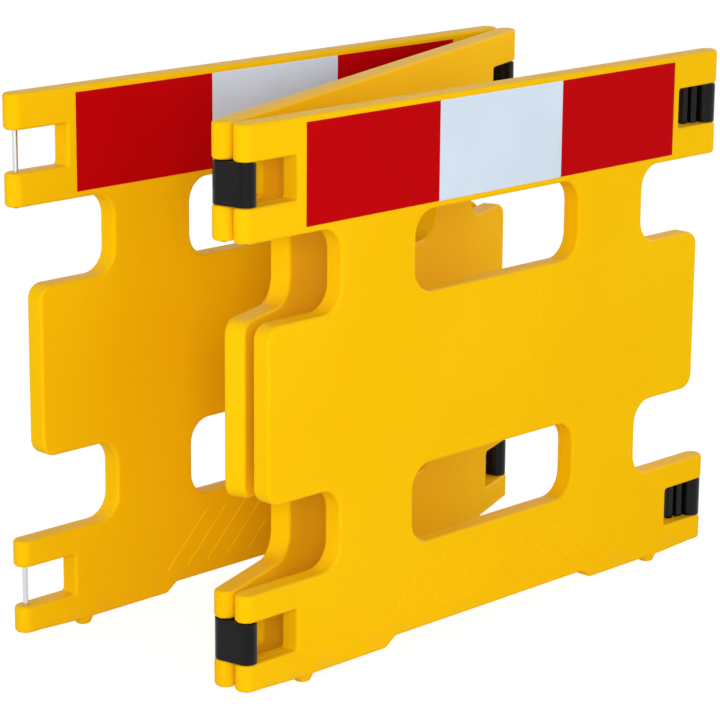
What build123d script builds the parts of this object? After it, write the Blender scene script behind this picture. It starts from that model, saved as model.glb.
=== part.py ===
"""Folding barrier: three alike hollow panels joined by hinge links on steel rods, standing in a loose Z.

Millimetres, +Z up. Each panel is drawn once in its own frame: X along the panel, Y through its thickness
with the front face towards -Y, Z up from the ground, and the origin under the panel's centre. The three
panels are then set in the folded pose, with the origin under the middle of the whole barrier.
"""

import os
from math import cos, radians, sin

from build123d import *

# Panel, overall
panel_width = 1250.0
panel_height = 1000.0
panel_thickness = 40.0
wall = 3.0
edge_radius = 6.0

# Rails, posts and middle block
top_rail_height = 200.0
bottom_rail_height = 178.0
gap_height = 147.0
window_width = 434.0
post_width = 183.0
block_from_end = 53.5
gap_corner_radius = 44.0
block_corner_radius = 28.0

# Link notches in the ends of both rails
notch_height = 75.5
notch_depth = 122.0
notch_corner_radius = 6.0
top_arm_height = 64.0
bottom_arm_height = 53.0

# Underside: feet, central recess and raised ends
foot_height = 14.0
foot_from_end = 153.0
foot_top_diameter = 38.0
foot_bottom_diameter = 26.0
foot_edge_radius = 5.0
recess_height = 17.0
recess_top_width = 512.0
recess_wall_run = 25.0
recess_corner_radius = 12.0
end_lift = 4.0
lift_start_from_end = 130.0
lift_length = 90.0
lift_corner_radius = 300.0

# Slanting ribs on the front of the bottom rail, alike on both sides of the middle
rib_count = 4
rib_pitch = 50.5
rib_first_foot = 124.5
rib_bottom = 60.0
rib_rise = 97.0
rib_run = 97.0
rib_width = 9.0
rib_height = 1.6
rib_bevel = 1.2
short_rib_foot = 67.0
short_rib_share = 0.45

# Bare shallow label field on the front of the middle block
label_width = 212.0
label_height = 250.0
label_below_block_top = 28.0
label_depth = 0.5
label_corner_radius = 8.0

# Reflective film, three fields in a row on the front of the top rail
film_from_notch = 18.5
film_below_top = 11.0
film_above_rail_bottom = 12.0
film_thickness = 0.4

# Hinge rods and their caps
rod_diameter = 10.0
rod_seat_clearance = 0.05
rod_engagement = 40.0
rod_tail = 2.2
rod_chamfer = 0.8
boss_diameter = 18.0
cap_diameter = 16.0
cap_floor = 1.0
cap_edge_radius = 0.8

# Hinge links
link_pitch = 44.0
link_diameter = 38.0
link_height = 74.0
link_foot_gap = 0.5
link_web = 12.0
link_groove_radius = 2.0
link_edge_radius = 1.5
lip_face = 8.0
lip_corner_radius = 2.0
link_mouth = 8.6
link_lead_in = 1.8
running_clearance = 0.05

# Folded pose: the angle between neighbouring panels, zero when they lie flat together, and how far the
# free links at the end of panel C hang back out of its plane
fold_angle = 19.6
free_link_angle = 11.0

# Levels and half sizes that follow from the values above
half_width = panel_width / 2
half_thickness = panel_thickness / 2
rod_x = half_width - half_thickness
rod_radius = rod_diameter / 2
top_rail_bottom = panel_height - top_rail_height
block_top = top_rail_bottom - gap_height
bottom_rail_top = foot_height + bottom_rail_height
block_bottom = bottom_rail_top + gap_height
post_outer = window_width / 2 + post_width
notch_wall = half_width - notch_depth
block_end = half_width - block_from_end
foot_x = half_width - foot_from_end
recess_foot_half = recess_top_width / 2 + recess_wall_run
upper_notch_top = panel_height - top_arm_height
upper_notch_bottom = upper_notch_top - notch_height
lower_notch_bottom = foot_height + bottom_arm_height
lower_notch_top = lower_notch_bottom + notch_height
end_underside = foot_height + end_lift
film_field_length = 2 * (notch_wall - film_from_notch) / 3
film_height = top_rail_height - film_below_top - film_above_rail_bottom
front_y = -half_thickness
tolerance = 0.001

# For each level of rods: the top and bottom of the notch, and the face that the rod's cap sits on
rod_levels = {
    "upper": (upper_notch_top, upper_notch_bottom, top_rail_bottom),
    "lower": (lower_notch_top, lower_notch_bottom, end_underside),
}
rod_sides = {"left": -rod_x, "right": rod_x}


def half_outline(inset):
    """Corners of the right half of the panel's front view, from the top down, each with its radius."""
    end = half_width - inset
    inner_notch = notch_wall - inset
    post = post_outer - inset
    block = block_end - inset
    inside_gap = gap_corner_radius + inset
    inside_notch = notch_corner_radius + inset
    outside_block = block_corner_radius - inset
    lift_start = half_width - lift_start_from_end
    return [
        (end, panel_height - inset, 0),
        (end, upper_notch_top + inset, 0),
        (inner_notch, upper_notch_top + inset, inside_notch),
        (inner_notch, upper_notch_bottom - inset, inside_notch),
        (end, upper_notch_bottom - inset, 0),
        (end, top_rail_bottom + inset, 0),
        (post, top_rail_bottom + inset, inside_gap),
        (post, block_top - inset, inside_gap),
        (block, block_top - inset, outside_block),
        (block, block_bottom + inset, outside_block),
        (post, block_bottom + inset, inside_gap),
        (post, bottom_rail_top - inset, inside_gap),
        (end, bottom_rail_top - inset, 0),
        (end, lower_notch_top + inset, 0),
        (inner_notch, lower_notch_top + inset, inside_notch),
        (inner_notch, lower_notch_bottom - inset, inside_notch),
        (end, lower_notch_bottom - inset, 0),
        (end, end_underside + inset, 0),
        (lift_start + lift_length, end_underside + inset, lift_corner_radius),
        (lift_start, foot_height + inset, lift_corner_radius),
        (recess_foot_half + inset, foot_height + inset, recess_corner_radius),
        (recess_top_width / 2 + inset, foot_height + recess_height + inset, recess_corner_radius),
    ]


def front_view(inset):
    """The panel's front view with its two windows, on the X and Z axes."""
    right = half_outline(inset)
    left = [(-x, z, radius) for x, z, radius in reversed(right)]
    corners = right + left
    face = make_face(Polyline(*[(x, z) for x, z, _ in corners], close=True))
    for size in sorted({radius for _, _, radius in corners if radius > 0}):
        places = [Vector(x, z) for x, z, radius in corners if radius == size]
        chosen = [v for v in face.vertices() if min((Vector(v) - p).length for p in places) < tolerance]
        face = fillet(chosen, size)
    window = RectangleRounded(
        window_width + 2 * inset,
        gap_height + 2 * inset,
        gap_corner_radius + inset,
    )
    for bottom in (bottom_rail_top, block_top):
        face -= Pos(0, bottom + gap_height / 2) * window
    return face


def rounded_slab(inset):
    """The panel's form, with round ends in plan, drawn in by the inset.

    The outside has rounded edges. The hollow inside has bevelled ones, which keep the wall there.
    """
    reach = half_thickness - inset
    slab = extrude(Plane.XZ * front_view(inset), amount=reach, both=True)
    plan = SlotOverall(panel_width - 2 * inset, 2 * reach)
    slab &= extrude(plan, amount=panel_height)
    across = slab.edges().filter_by(Axis.Y)
    uprights = slab.edges().filter_by(Axis.Z)
    blends = [e for e in uprights if abs(abs(e.center().X) - rod_x) < tolerance]
    left_sharp = across + blends
    rims = [e for e in slab.edges() if e not in left_sharp]
    if inset > 0:
        return chamfer(rims, edge_radius / 2)
    return fillet(rims, edge_radius)


def upright_cylinder(x, bottom, top, radius):
    """A cylinder standing on the panel's middle plane."""
    return Pos(x, 0, bottom) * extrude(Circle(radius), amount=top - bottom)


def foot(x):
    """One moulded foot under the bottom rail, reaching up to where the rail has its full thickness."""
    standing = (Align.CENTER, Align.CENTER, Align.MIN)
    cone = Cone(foot_bottom_diameter / 2, foot_top_diameter / 2, foot_height, align=standing)
    cone = fillet(cone.edges().group_by(Axis.Z)[0], foot_edge_radius)
    stem = upright_cylinder(0, foot_height, foot_height + edge_radius, foot_top_diameter / 2)
    return Pos(x, 0, 0) * (cone + stem)


def rib(side, start_x, share):
    """One slanting rib, rising from its foot towards the middle of the panel."""
    start = Vector(side * start_x, rib_bottom)
    end = start + Vector(-side * rib_run, rib_rise) * share
    length = (end - start).length
    slant = Vector(1, 0).get_signed_angle(end - start, Vector(0, 0, 1))
    middle = (start + end) / 2
    outline = Pos(middle.X, middle.Y) * Rot(0, 0, slant) * SlotCenterToCenter(length, rib_width)
    face_plane = Plane((0, front_y + wall / 2, 0), x_dir=(1, 0, 0), z_dir=(0, -1, 0))
    body = extrude(face_plane * outline, amount=rib_height + wall / 2)
    return chamfer(body.edges().group_by(Axis.Y)[0], rib_bevel)


def label_field():
    """The shallow pocket of the label field."""
    outline = RectangleRounded(label_width, label_height, label_corner_radius)
    middle = block_top - label_below_block_top - label_height / 2
    face_plane = Plane((0, front_y, middle), x_dir=(1, 0, 0), z_dir=(0, -1, 0))
    return extrude(face_plane * outline, amount=-label_depth)


def panel_shell():
    """One hollow panel, with bosses around its rods, feet, ribs and label field."""
    shell = rounded_slab(0)
    for side in (-1, 1):
        shell += foot(side * foot_x)
    hollow = rounded_slab(wall)
    for x in rod_sides.values():
        hollow -= upright_cylinder(x, 0, panel_height, boss_diameter / 2)
    shell -= hollow
    for side in (-1, 1):
        for index in range(rib_count):
            shell += rib(side, rib_first_foot + index * rib_pitch, 1)
        shell += rib(side, short_rib_foot, short_rib_share)
    shell -= label_field()
    for notch_top, _, cap_face in rod_levels.values():
        for x in rod_sides.values():
            top = notch_top + rod_engagement + rod_seat_clearance
            shell -= upright_cylinder(x, cap_face - rod_tail, top, rod_radius + rod_seat_clearance)
    return shell


def film(index):
    """One field of reflective film: 0 is the left red one, 1 the white one and 2 the right red one."""
    bottom = panel_height - film_below_top - film_height
    middle_x = (index - 1) * film_field_length
    sheet = Box(film_field_length, film_thickness, film_height)
    return Pos(middle_x, front_y - film_thickness / 2, bottom + film_height / 2) * sheet


def rod(x, notch_top, cap_face):
    """One hinge rod, from its cap up into the blind bore of the arm above."""
    bar = upright_cylinder(x, cap_face - rod_tail, notch_top + rod_engagement, rod_radius)
    ends = bar.edges().group_by(Axis.Z)
    return chamfer(ends[0] + ends[-1], rod_chamfer)


def rod_cap(x, cap_face):
    """One cap, pushed on the rod's tail and lying against the arm's underside."""
    cup = upright_cylinder(x, cap_face - rod_tail - cap_floor, cap_face, cap_diameter / 2)
    cup = fillet(cup.edges().group_by(Axis.Z)[0], cap_edge_radius)
    return cup - upright_cylinder(x, cap_face - rod_tail, cap_face, rod_radius)


def hinge_link():
    """A link with its barrel on the origin's upright and its clip along +X, open towards +Y.

    The clip is a round with a flat face, which the mouth divides into two lips.
    """
    radius = link_diameter / 2
    web_inside = -radius + link_web
    web = Pos(link_pitch / 2, -radius + link_web / 2) * Rectangle(link_pitch, link_web)
    beyond_lips = Pos(link_pitch, lip_face + radius) * Rectangle(2 * radius, 2 * radius)
    profile = Circle(radius) + (Pos(link_pitch, 0) * Circle(radius) - beyond_lips) + web
    groove = [v for v in profile.vertices() if abs(v.Y - web_inside) < tolerance and 0 < v.X < link_pitch]
    profile = fillet(groove, link_groove_radius)
    lip_corners = [v for v in profile.vertices() if abs(v.Y - lip_face) < tolerance and v.X > radius]
    profile = fillet(lip_corners, lip_corner_radius)
    body = extrude(profile, amount=link_height)
    rims = body.edges().group_by(Axis.Z)
    body = fillet(rims[0] + rims[-1], link_edge_radius)
    half_mouth = link_mouth / 2
    right_of_mouth = [
        (half_mouth, 0),
        (half_mouth, lip_face - link_lead_in),
        (half_mouth + link_lead_in, lip_face),
        (half_mouth + link_lead_in, radius),
    ]
    left_of_mouth = [(-x, y) for x, y in reversed(right_of_mouth)]
    mouth = make_face(Polyline(*right_of_mouth, *left_of_mouth, close=True))
    bore = Circle(rod_radius + running_clearance)
    clip_place = Pos(link_pitch, 0)
    opening = bore + clip_place * bore + clip_place * mouth
    return body - extrude(opening, amount=link_height)


def turned(angle, length):
    """A vector of this length in plan, at this angle in degrees from +X."""
    return Vector(length * cos(radians(angle)), length * sin(radians(angle)))


# Places of the panels in plan, worked out along the chain from panel C with C at the start
link_angle = fold_angle / 2 - 90
c_place = Vector(0, 0)
front_c_rod = c_place - Vector(rod_x, 0)
front_b_rod = front_c_rod - turned(link_angle, link_pitch)
b_place = front_b_rod + turned(fold_angle, rod_x)
back_b_rod = b_place + turned(fold_angle, rod_x)
back_a_rod = back_b_rod - turned(link_angle, link_pitch)
a_place = back_a_rod - Vector(rod_x, 0)

# The middle of the whole barrier in plan
left_end = min(a_place.X - half_width, front_b_rod.X - half_thickness)
right_end = c_place.X + half_width
front_end = c_place.Y + front_y - max(film_thickness, rib_height)
back_end = a_place.Y + half_thickness
middle = Vector((left_end + right_end) / 2, (front_end + back_end) / 2)

panel_poses = {
    "a": (a_place - middle, 0),
    "b": (b_place - middle, fold_angle + 180),
    "c": (c_place - middle, 0),
}
link_poses = {
    "a": (back_a_rod - middle, link_angle),
    "b": (front_b_rod - middle, link_angle),
    "c": (c_place + Vector(rod_x, 0) - middle, 180 - free_link_angle),
}


def panel_pieces():
    """Every piece that is fixed to one panel, by name."""
    pieces = {"shell": panel_shell()}
    for index, name in enumerate(("film_red_left", "film_white", "film_red_right")):
        pieces[name] = film(index)
    for level, (notch_top, _, cap_face) in rod_levels.items():
        for side, x in rod_sides.items():
            pieces[f"rod_{level}_{side}"] = rod(x, notch_top, cap_face)
            pieces[f"cap_{level}_{side}"] = rod_cap(x, cap_face)
    return pieces


def write(name, shape):
    """Write one node and print its volume."""
    export_step(shape, f"parts/{name}.step")
    print(name, round(shape.volume / 1000, 2), "cm3")


def main():
    os.makedirs("parts", exist_ok=True)
    pieces = panel_pieces()
    link = hinge_link()
    for panel, (place, turn) in panel_poses.items():
        pose = Location((place.X, place.Y, 0), (0, 0, turn))
        for name, piece in pieces.items():
            write(f"{name}_{panel}", pose * piece)
    for panel, (place, turn) in link_poses.items():
        for level, (_, notch_bottom, _) in rod_levels.items():
            pose = Location((place.X, place.Y, notch_bottom + link_foot_gap), (0, 0, turn))
            write(f"link_{level}_{panel}", pose * link)
    print("middle of the barrier from panel C", middle.X, middle.Y)


main()
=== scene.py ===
# %% [markdown]
# # A folding barrier, dressed in Blender
#
# The barrier has three alike yellow panels that fold on black links. The shapes come from a CAD model,
# which is loaded first and stays where it is. Blender adds what CAD can't show: the finish of moulded
# plastic, reflective film and steel, the fine bead where the two halves of a mould met, and the light.

# %% Load the CAD model
from math import atan2, degrees

import bpy
from mathutils import Matrix, Vector


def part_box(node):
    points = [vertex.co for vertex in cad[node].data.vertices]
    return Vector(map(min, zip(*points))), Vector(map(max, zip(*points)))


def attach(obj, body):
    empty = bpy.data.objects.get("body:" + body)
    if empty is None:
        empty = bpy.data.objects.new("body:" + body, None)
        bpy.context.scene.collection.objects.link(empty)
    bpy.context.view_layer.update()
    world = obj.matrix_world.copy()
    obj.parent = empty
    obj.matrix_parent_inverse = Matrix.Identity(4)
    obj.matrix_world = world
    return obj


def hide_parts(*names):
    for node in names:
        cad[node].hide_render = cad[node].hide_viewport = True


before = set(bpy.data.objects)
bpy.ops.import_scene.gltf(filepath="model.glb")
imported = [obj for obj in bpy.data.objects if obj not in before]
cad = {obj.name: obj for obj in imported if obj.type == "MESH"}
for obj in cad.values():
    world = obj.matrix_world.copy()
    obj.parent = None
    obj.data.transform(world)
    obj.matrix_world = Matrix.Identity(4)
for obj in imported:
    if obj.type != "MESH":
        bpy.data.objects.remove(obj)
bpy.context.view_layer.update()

mm = 0.001
panels = ("a", "b", "c")
bpy.ops.object.select_all(action="DESELECT")

# %% [markdown]
# ## Where each panel stands
#
# The three panels are one shape in three places. A finish that belongs to the panel, such as a line that
# the mould left, has to turn with it. Each panel's place and turn are read from its own hinge rods, so
# the finish always sits where the CAD model put the panel.

# %% Find each panel's place and turn
def middle_of(node):
    low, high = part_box(node)
    return (Vector(low) + Vector(high)) / 2


stand = {}
for panel in panels:
    left_rod = middle_of(f"rod_upper_left_{panel}")
    right_rod = middle_of(f"rod_upper_right_{panel}")
    along = right_rod - left_rod
    centre = (left_rod + right_rod) / 2
    stand[panel] = (Vector((centre.x, centre.y, 0)), atan2(along.y, along.x))
    rod_place = along.length / 2
    print("panel", panel, "stands at", stand[panel][0], "turned", round(degrees(stand[panel][1]), 2))

# %% [markdown]
# ## Helpers for finishes
#
# A finish is a small tree of nodes. A few helpers keep the trees readable: they start a material, fill a
# node's sockets, add a node with its settings, or add a sum, a soft step, a noise or a mix of two colours.
# The last one dresses a piece in a finish. Every pattern is measured in metres on Object coordinates,
# because all pieces share one frame.

# %% Helpers for finishes
def new_finish(name):
    material = bpy.data.materials.new(name)
    material.use_nodes = True
    tree = material.node_tree
    return material, tree, tree.nodes["Principled BSDF"]


def fill_socket(tree, socket, value):
    if isinstance(value, bpy.types.NodeSocket):
        tree.links.new(value, socket)
    else:
        socket.default_value = value


def fill_sockets(tree, node, values):
    for name, value in values.items():
        fill_socket(tree, node.inputs[name], value)


def add(tree, kind, inputs=None, **settings):
    node = tree.nodes.new(kind)
    for key, value in settings.items():
        setattr(node, key, value)
    fill_sockets(tree, node, inputs or {})
    return node


def calc(tree, operation, first, second=0.0, third=0.0):
    return add(tree, "ShaderNodeMath", {0: first, 1: second, 2: third}, operation=operation).outputs[0]


def fade(tree, value, start, end, low=1.0, high=0.0):
    inputs = {"Value": value, "From Min": start, "From Max": end, "To Min": low, "To Max": high}
    return add(tree, "ShaderNodeMapRange", inputs, interpolation_type="SMOOTHSTEP").outputs[0]


def noise(tree, place, scale, detail=3.0, roughness=0.5):
    inputs = {"Vector": place, "Scale": scale, "Detail": detail, "Roughness": roughness}
    return add(tree, "ShaderNodeTexNoise", inputs).outputs["Fac"]


def blend_colour(tree, share, first, second):
    node = add(tree, "ShaderNodeMix", data_type="RGBA")
    for wanted, value in (("Factor_Float", share), ("A_Color", first), ("B_Color", second)):
        socket = next(s for s in node.inputs if s.identifier == wanted)
        fill_socket(tree, socket, value)
    return next(s for s in node.outputs if s.identifier == "Result_Color")


def bumps(tree, height, strength, depth):
    inputs = {"Strength": strength, "Distance": depth, "Height": height}
    return add(tree, "ShaderNodeBump", inputs).outputs[0]


def dress(piece, finish):
    piece.data.materials.clear()
    piece.data.materials.append(finish)


print("helpers ready")

# %% [markdown]
# ## Yellow moulded polyethylene
#
# The panels are blow moulded: a hot tube of plastic is blown out against a mould. The skin is smooth with a
# soft satin gloss, a fine grain from the blasted mould and slow waves where it cooled unevenly. The mould
# leaves faint upright lines on the middle block. Near the bottom, cloudy patches of a darker, greyer yellow
# fade out upward. The faces that look up mirror more than the sides: a painted sheen on the tops. A Mapping
# node of the Texture kind turns the shared coordinates back into the panel's own, so one recipe serves all
# three panels.

# %% Make the yellow of each panel
light_yellow = (0.96, 0.56, 0.003, 1)
deep_yellow = (0.945, 0.535, 0.002, 1)
# A darker, greyer yellow laid in cloudy patches near the bottom, fading out upward.
lower_patch_yellow = (0.82, 0.50, 0.03, 1)
lower_patch_bottom, lower_patch_top, lower_patch_share = 5 * mm, 70 * mm, 0.5
mould_lines = (97 * mm, 220 * mm, 390 * mm)
line_reach, line_fade = 1.6 * mm, 25 * mm
block_bottom, block_top = 339 * mm, 653 * mm
grain_height, wave_height, line_height = 0.035, 1.2, 0.06
# The mirror of faces that look up is raised above that of the sides: a painted sheen on the tops.
side_mirror, top_painted_sheen = 0.008, 0.11


def panel_yellow(panel):
    material, tree, shader = new_finish(f"panel_yellow_{panel}")
    place, turn = stand[panel]
    spot = add(tree, "ShaderNodeTexCoord").outputs["Object"]
    inputs = {"Vector": spot, "Location": place, "Rotation": (0, 0, turn)}
    own = add(tree, "ShaderNodeMapping", inputs, vector_type="TEXTURE").outputs[0]
    parts = add(tree, "ShaderNodeSeparateXYZ", {0: own}).outputs
    slow = noise(tree, own, 2.6, 2.0)
    cloud = noise(tree, own, 23.0, 4.0)
    grain = noise(tree, own, 1500.0, 2.0, 0.6)
    waves = noise(tree, own, 9.0, 1.5)
    tint = blend_colour(tree, fade(tree, slow, 0.35, 0.65, 0.0, 1.0), light_yellow, deep_yellow)
    # Cloudy patches of the darker, greyer yellow, strongest near the bottom and gone above the upper height.
    low_down = fade(tree, parts["Z"], lower_patch_bottom, lower_patch_top, lower_patch_share, 0.0)
    patches = calc(tree, "MULTIPLY", low_down, fade(tree, cloud, 0.45, 0.7, 0.0, 1.0))
    tint = blend_colour(tree, patches, tint, lower_patch_yellow)
    gloss = fade(tree, cloud, 0.3, 0.7, 0.36, 0.46)
    from_middle = calc(tree, "ABSOLUTE", parts["X"])
    line = 0.0
    for place_x in mould_lines:
        gap = calc(tree, "ABSOLUTE", calc(tree, "SUBTRACT", from_middle, place_x))
        line = calc(tree, "MAXIMUM", line, fade(tree, gap, 0.0, line_reach))
    above = fade(tree, parts["Z"], block_bottom, block_bottom + line_fade, 0.0, 1.0)
    below = fade(tree, parts["Z"], block_top - line_fade, block_top)
    line = calc(tree, "MULTIPLY", line, calc(tree, "MULTIPLY", above, below))
    height = calc(tree, "MULTIPLY_ADD", grain, grain_height, calc(tree, "MULTIPLY", waves, wave_height))
    height = calc(tree, "MULTIPLY_ADD", line, line_height, height)
    facing = add(tree, "ShaderNodeNewGeometry").outputs["Normal"]
    upward = add(tree, "ShaderNodeSeparateXYZ", {0: facing}).outputs["Z"]
    # Faces that look up get a stronger mirror: a painted sheen on the tops.
    mirror = fade(tree, upward, 0.35, 0.95, side_mirror, top_painted_sheen)
    fill_sockets(tree, shader, {"Base Color": tint, "Roughness": gloss, "Specular IOR Level": mirror,
                                "Normal": bumps(tree, height, 0.5, 1 * mm)})
    return material


yellow = {}
for panel in panels:
    yellow[panel] = panel_yellow(panel)
    dress(cad[f"shell_{panel}"], yellow[panel])
print("yellow made for", sorted(yellow))

# %% [markdown]
# ## Reflective film
#
# The red and white fields are thin reflective film. Seen close, it is a honeycomb of sealed cells under a
# smooth clear face. A Voronoi texture gives the cells, and their walls are only a little paler than the
# rest, so that the film reads as one even colour from a few steps away.

# %% Make the red and white film
cell_pitch = 3.6 * mm
red_face, red_wall = (0.52, 0.001, 0.003, 1), (0.57, 0.003, 0.005, 1)
white_face, white_wall = (0.67, 0.77, 0.89, 1), (0.71, 0.80, 0.91, 1)
wall_share, shaded, film_mirror = 0.35, 0.93, 0.012


def reflective_film(name, face, wall):
    material, tree, shader = new_finish(name)
    spot = add(tree, "ShaderNodeTexCoord").outputs["Object"]
    inputs = {"Vector": spot, "Scale": 1 / cell_pitch, "Randomness": 0.25}
    cells = add(tree, "ShaderNodeTexVoronoi", inputs, feature="DISTANCE_TO_EDGE").outputs["Distance"]
    walls = fade(tree, cells, 0.02, 0.10, wall_share, 0.0)
    slow = noise(tree, spot, 6.0, 2.0)
    beads = noise(tree, spot, 4000.0, 1.0)
    tint = blend_colour(tree, walls, face, wall)
    shade = [c * shaded for c in face[:3]] + [1]
    tint = blend_colour(tree, fade(tree, slow, 0.3, 0.7, 0.0, 0.6), tint, shade)
    gloss = fade(tree, beads, 0.3, 0.7, 0.30, 0.42)
    fill_sockets(tree, shader, {"Base Color": tint, "Roughness": gloss, "Specular IOR Level": film_mirror,
                                "Normal": bumps(tree, walls, 0.12, 0.2 * mm)})
    return material


film_red = reflective_film("film_red", red_face, red_wall)
film_white = reflective_film("film_white", white_face, white_wall)
for panel in panels:
    for field, finish in (("red_left", film_red), ("white", film_white), ("red_right", film_red)):
        dress(cad[f"film_{field}_{panel}"], finish)
print("film made: red and white")

# %% [markdown]
# ## Black links
#
# The links are moulded in a tough black plastic. Their gloss is what shows them as round: broad soft
# highlights run down the barrels. The skin has a fine leathery grain, and the gloss changes a little
# where hands and rods have rubbed it.

# %% Make the black of the links
fresh_black, rubbed_black, link_mirror = (0.002, 0.002, 0.003, 1), (0.004, 0.004, 0.005, 1), 0.18


def link_black():
    material, tree, shader = new_finish("link_black")
    spot = add(tree, "ShaderNodeTexCoord").outputs["Object"]
    pebble = noise(tree, spot, 900.0, 2.0, 0.6)
    patches = noise(tree, spot, 45.0, 4.0)
    tint = blend_colour(tree, fade(tree, patches, 0.35, 0.7, 0.0, 1.0), fresh_black, rubbed_black)
    gloss = fade(tree, patches, 0.3, 0.7, 0.10, 0.15)
    fill_sockets(tree, shader, {"Base Color": tint, "Roughness": gloss, "Specular IOR Level": link_mirror,
                                "Normal": bumps(tree, pebble, 0.12, 0.15 * mm)})
    return material


black = link_black()
for panel in panels:
    for level in ("upper", "lower"):
        dress(cad[f"link_{level}_{panel}"], black)
print("links are black")

# %% [markdown]
# ## Bright steel rods
#
# The hinge rods are drawn steel with a bright zinc coat. Drawing pulls fine lines along the rod. Noise that
# is squeezed across the rod and stretched along it gives those lines, in the gloss and in a slight bump.

# %% Make the steel of the rods
dull_zinc, bright_zinc = (0.60, 0.62, 0.64, 1), (0.74, 0.75, 0.76, 1)
draw_squeeze = (1.0, 1.0, 0.03)


def rod_steel():
    material, tree, shader = new_finish("rod_steel")
    spot = add(tree, "ShaderNodeTexCoord").outputs["Object"]
    squeezed = add(tree, "ShaderNodeMapping", {"Vector": spot, "Scale": draw_squeeze}).outputs[0]
    lines = noise(tree, squeezed, 2200.0, 3.0)
    cloud = noise(tree, spot, 70.0, 3.0)
    tint = blend_colour(tree, cloud, dull_zinc, bright_zinc)
    gloss = fade(tree, lines, 0.3, 0.7, 0.20, 0.36)
    fill_sockets(tree, shader, {"Base Color": tint, "Roughness": gloss, "Metallic": 1.0,
                                "Normal": bumps(tree, lines, 0.2, 0.05 * mm)})
    return material


steel = rod_steel()
for name, piece in cad.items():
    if name.startswith("rod_"):
        dress(piece, steel)
print("rods are steel")

# %% [markdown]
# ## Push-on caps
#
# A push-on cap holds the lower end of each rod. It is a small black moulding: a round brim that lies against
# the panel, and a dome over the rod's end. One cap is modelled from a flat disc, by insetting its lower face
# and drawing it down in steps, and each other cap is a copy with its own mesh.

# %% Model one cap at the origin
cap_brim, cap_dome, brim_thick, cap_sides = 8.0 * mm, 6.1 * mm, 0.7 * mm, 40
dome_steps = ((1.3 * mm, 1.0), (0.7 * mm, 0.90), (0.35 * mm, 0.72), (0.15 * mm, 0.5))


def lower_face(mesh):
    bpy.ops.object.mode_set(mode="OBJECT")
    for face in mesh.polygons:
        face.select = False
    lowest = min(mesh.polygons, key=lambda face: face.center.z)
    lowest.select = True
    bpy.ops.object.mode_set(mode="EDIT")


brim_middle = (0, 0, -brim_thick / 2)
bpy.ops.mesh.primitive_cylinder_add(
    vertices=cap_sides, radius=cap_brim, depth=brim_thick, location=brim_middle)
pattern_cap = bpy.context.object
pattern_cap.name = "cap_pattern"
bpy.ops.object.transform_apply(location=True, rotation=True, scale=True)
bpy.ops.object.mode_set(mode="EDIT")
bpy.ops.mesh.select_mode(type="FACE")
lower_face(pattern_cap.data)
bpy.ops.mesh.inset(thickness=cap_brim - cap_dome)
for drop, share in dome_steps:
    bpy.ops.mesh.extrude_region_move(TRANSFORM_OT_translate={"value": (0, 0, -drop)})
    bpy.ops.transform.resize(value=(share, share, 1))
bpy.ops.object.mode_set(mode="OBJECT")
print("cap is", [round(v / mm, 2) for v in pattern_cap.dimensions], "mm")

# %% [markdown]
# Its edges get a small bevel, so that they catch light, and the finish is a satin black plastic, rougher than
# the links, with a fine cloudy wear.

# %% Finish the cap and copy it to every rod
cap_dark, cap_worn, cap_mirror = (0.006, 0.006, 0.008, 1), (0.018, 0.018, 0.020, 1), 0.2
cap_edge, smooth_below = 0.25 * mm, 0.6


def cap_black():
    material, tree, shader = new_finish("cap_black")
    spot = add(tree, "ShaderNodeTexCoord").outputs["Object"]
    cloud = noise(tree, spot, 160.0, 4.0)
    grain = noise(tree, spot, 1800.0, 2.0, 0.6)
    tint = blend_colour(tree, cloud, cap_dark, cap_worn)
    gloss = fade(tree, cloud, 0.3, 0.7, 0.30, 0.45)
    fill_sockets(tree, shader, {"Base Color": tint, "Roughness": gloss, "Specular IOR Level": cap_mirror,
                                "Normal": bumps(tree, grain, 0.15, 0.1 * mm)})
    return material


bevel = pattern_cap.modifiers.new("soft_edges", "BEVEL")
bevel.width = cap_edge
bevel.segments = 2
bpy.ops.object.modifier_apply(modifier="soft_edges")
pattern_cap.data.materials.append(cap_black())
bpy.ops.object.shade_smooth_by_angle(angle=smooth_below)
caps = []
for name in sorted(cad):
    if not name.startswith("cap_"):
        continue
    low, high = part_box(name)
    seat = Vector(((low[0] + high[0]) / 2, (low[1] + high[1]) / 2, high[2]))
    cap = bpy.data.objects.new("push_" + name, pattern_cap.data.copy())
    bpy.context.scene.collection.objects.link(cap)
    cap.data.transform(Matrix.Translation(seat))
    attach(cap, "panel_" + name[-1])
    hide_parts(name)
    caps.append(cap)
bpy.data.objects.remove(pattern_cap)
print(len(caps), "caps in place")

# %% [markdown]
# ## The bead where the mould closed
#
# A blow mould has two halves, and they leave a fine bead all round the panel, half-way through its
# thickness. It follows the panel's outline and windows exactly, so it is cut from the panel itself: a copy of
# the shell is bisected on its middle plane, and only the cut is kept. The cut also shows the hollow inside
# and the rods' bores, which have no bead, so those loops go. What stays becomes a curve with a round bevel.

# %% Cut the outline of each panel and thicken it
bead_radius = 0.4 * mm
end_radius, half_window, same_reach = 20 * mm, 217 * mm, 0.5 * mm
half_panel = rod_place + end_radius
bore_reach, foot_top = 5.6 * mm, 13.9 * mm


def drop_edges(mesh, unwanted):
    bpy.ops.object.mode_set(mode="EDIT")
    bpy.ops.mesh.select_mode(type="EDGE")
    bpy.ops.mesh.select_all(action="DESELECT")
    bpy.ops.object.mode_set(mode="OBJECT")
    for edge in mesh.edges:
        edge.select = edge.index in unwanted
    bpy.ops.object.mode_set(mode="EDIT")
    bpy.ops.mesh.delete(type="EDGE")
    bpy.ops.object.mode_set(mode="OBJECT")


def loops_of(mesh):
    root = list(range(len(mesh.vertices)))

    def top(i):
        while root[i] != i:
            root[i] = root[root[i]]
            i = root[i]
        return i

    for edge in mesh.edges:
        root[top(edge.vertices[0])] = top(edge.vertices[1])
    groups = {}
    for vertex in mesh.vertices:
        groups.setdefault(top(vertex.index), []).append(vertex.index)
    return list(groups.values())


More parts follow.
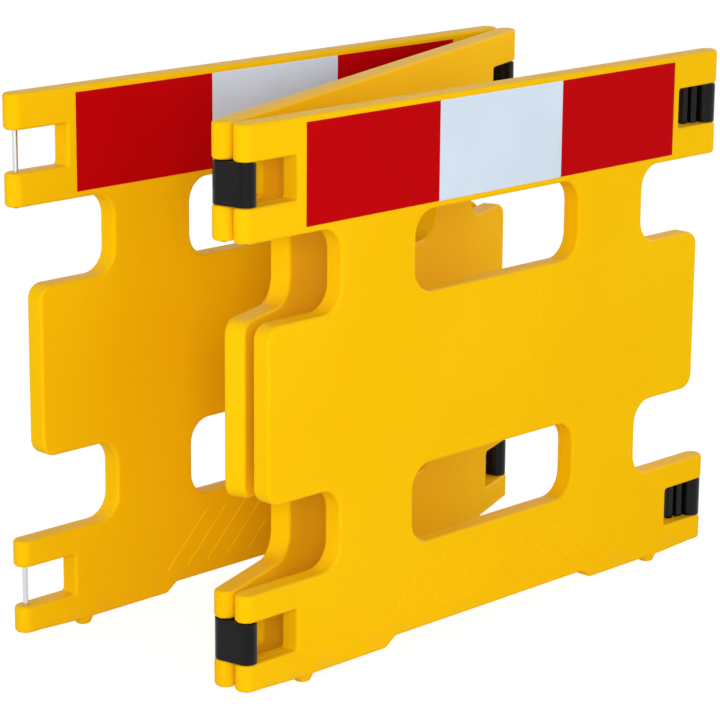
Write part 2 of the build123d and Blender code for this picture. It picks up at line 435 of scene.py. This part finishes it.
def mould_bead(panel):
    bpy.ops.object.select_all(action="DESELECT")
    bead = bpy.data.objects.new(f"mould_bead_{panel}", cad[f"shell_{panel}"].data.copy())
    bpy.context.scene.collection.objects.link(bead)
    bpy.context.view_layer.objects.active = bead
    bead.select_set(True)
    place, turn = stand[panel]
    back = Matrix.Rotation(-turn, 4, "Z") @ Matrix.Translation(-place)
    bpy.ops.object.mode_set(mode="EDIT")
    bpy.ops.mesh.select_all(action="SELECT")
    bpy.ops.mesh.remove_doubles(threshold=0.001 * mm)
    through = Matrix.Rotation(turn, 3, "Z") @ Vector((0, 1, 0))
    bpy.ops.mesh.bisect(plane_co=place, plane_no=through, clear_inner=True, clear_outer=True)
    bpy.ops.mesh.select_all(action="SELECT")
    bpy.ops.mesh.remove_doubles(threshold=0.02 * mm)
    bpy.ops.object.mode_set(mode="OBJECT")
    own = [back @ vertex.co for vertex in bead.data.vertices]
    outside = set()
    for loop in loops_of(bead.data):
        reach = max(abs(own[i].x) for i in loop)
        if abs(reach - half_panel) < same_reach or abs(reach - half_window) < same_reach:
            outside.update(loop)
    unwanted = set()
    for edge in bead.data.edges:
        ends = [own[i] for i in edge.vertices]
        in_bore = all(abs(abs(end.x) - rod_place) < bore_reach for end in ends)
        on_foot = all(end.z < foot_top for end in ends)
        if edge.vertices[0] not in outside or in_bore or on_foot:
            unwanted.add(edge.index)
    drop_edges(bead.data, unwanted)
    bpy.ops.object.convert(target="CURVE")
    bead.data.bevel_depth = bead_radius
    bead.data.bevel_resolution = 1
    bead.data.use_fill_caps = True
    bpy.ops.object.convert(target="MESH")
    bead = bpy.context.object
    dress(bead, yellow[panel])
    bpy.ops.object.shade_smooth()
    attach(bead, f"panel_{panel}")
    return bead


for panel in panels:
    bead = mould_bead(panel)
    print("bead", panel, len(bead.data.polygons), "faces", [round(v, 3) for v in bead.dimensions])

# %% [markdown]
# ## Floor, background and light
#
# The barrier stands on a plain white studio floor. The floor is a matt surface that takes the shadow, and a
# part of it that only the camera and mirrors see is plain white, so the background stays white without more
# light on the object. The world gives most of the light, more of it from the sides than from above. A large
# soft lamp stands beside the camera, a small one before the front panel, and one at each side reaches into
# the folds, where the light turns orange as it bounces between the panels.

# %% Lay the floor
floor_size, floor_grey = 60, (0.90, 0.90, 0.90, 1)
pure_white, white_strength, white_share = (1, 1, 1, 1), 1.25, 0.7
bpy.ops.object.select_all(action="DESELECT")
bpy.ops.mesh.primitive_plane_add(size=floor_size, location=(0, 0, 0))
floor = bpy.context.object
floor.name = "studio_floor"


def seen_directly(tree):
    path = add(tree, "ShaderNodeLightPath").outputs
    return calc(tree, "MAXIMUM", path["Is Camera Ray"],
                calc(tree, "MAXIMUM", path["Is Glossy Ray"], path["Is Transmission Ray"]))


material = bpy.data.materials.new("floor_white")
material.use_nodes = True
tree = material.node_tree
tree.nodes.clear()
matt = add(tree, "ShaderNodeBsdfDiffuse", {"Color": floor_grey})
white = add(tree, "ShaderNodeEmission", {"Color": pure_white, "Strength": white_strength})
share = calc(tree, "MULTIPLY", seen_directly(tree), white_share)
mixed = add(tree, "ShaderNodeMixShader", {0: share, 1: matt.outputs[0], 2: white.outputs[0]})
add(tree, "ShaderNodeOutputMaterial", {"Surface": mixed.outputs[0]})
floor.data.materials.append(material)
print("floor laid")

# %% Light the world and set the lamps
horizon_light, zenith_light = 0.92, 0.34
world = bpy.data.worlds.new("studio")
bpy.context.scene.world = world
world.use_nodes = True
tree = world.node_tree
tree.nodes.clear()
way = add(tree, "ShaderNodeTexCoord").outputs["Generated"]
upward = add(tree, "ShaderNodeSeparateXYZ", {0: way}).outputs["Z"]
level = fade(tree, upward, 0.1, 0.8, horizon_light, zenith_light)
fill = add(tree, "ShaderNodeBackground", {"Color": pure_white, "Strength": level})
white = add(tree, "ShaderNodeBackground", {"Color": pure_white, "Strength": 1.0})
mixed = add(tree, "ShaderNodeMixShader", {0: seen_directly(tree), 1: fill.outputs[0], 2: white.outputs[0]})
add(tree, "ShaderNodeOutputWorld", {"Surface": mixed.outputs[0]})


def soft_lamp(name, place, aim, power, size):
    bpy.ops.object.light_add(type="AREA", location=place)
    lamp = bpy.context.object
    lamp.name = name
    lamp.rotation_euler = (Vector(aim) - Vector(place)).to_track_quat("-Z", "Y").to_euler()
    lamp.data.energy = power
    lamp.data.shape = "SQUARE"
    lamp.data.size = size
    print("lamp", name, power, "W")


soft_lamp("main_lamp", (-4.0, -3.9, 2.0), (0, 0, 0.5), 125, 1.8)
soft_lamp("front_lamp", (0.8, -2.7, 1.5), (0.1, -0.25, 0.6), 3, 1.2)
soft_lamp("right_lamp", (4.2, -0.5, 1.8), (0.2, 0, 0.5), 48, 1.8)
soft_lamp("left_lamp", (-4.2, 0.5, 1.8), (-0.2, 0, 0.5), 14, 1.8)

# %% [markdown]
# ## Camera
#
# The camera stands where the photograph was taken from: about five metres off, at the left of the front
# panel and looking a little down, through a long lens. Its axes were worked out from corners of the film
# and the panels' edges, which are at known places in the CAD model.

# %% Set the camera
photo_pixels, focal_pixels, sensor_width = 720, 2831.03, 36
camera_place = (-3.66412, -3.57663, 1.79048)
right = Vector((0.7041923, -0.7099688, 0.0075774))
down = Vector((-0.1742508, -0.1831592, -0.9675171))
ahead = Vector((0.6882949, 0.6799978, -0.2526919))
turn = Matrix((right, -down, -ahead)).transposed()
bpy.ops.object.camera_add(location=camera_place, rotation=turn.to_euler())
camera = bpy.context.object
camera.data.sensor_width = sensor_width
camera.data.lens = focal_pixels / photo_pixels * sensor_width
bpy.context.scene.camera = camera
bpy.context.scene.view_settings.view_transform = "Standard"
print("camera looks along", [round(v, 3) for v in ahead], "lens", round(camera.data.lens, 1), "mm")
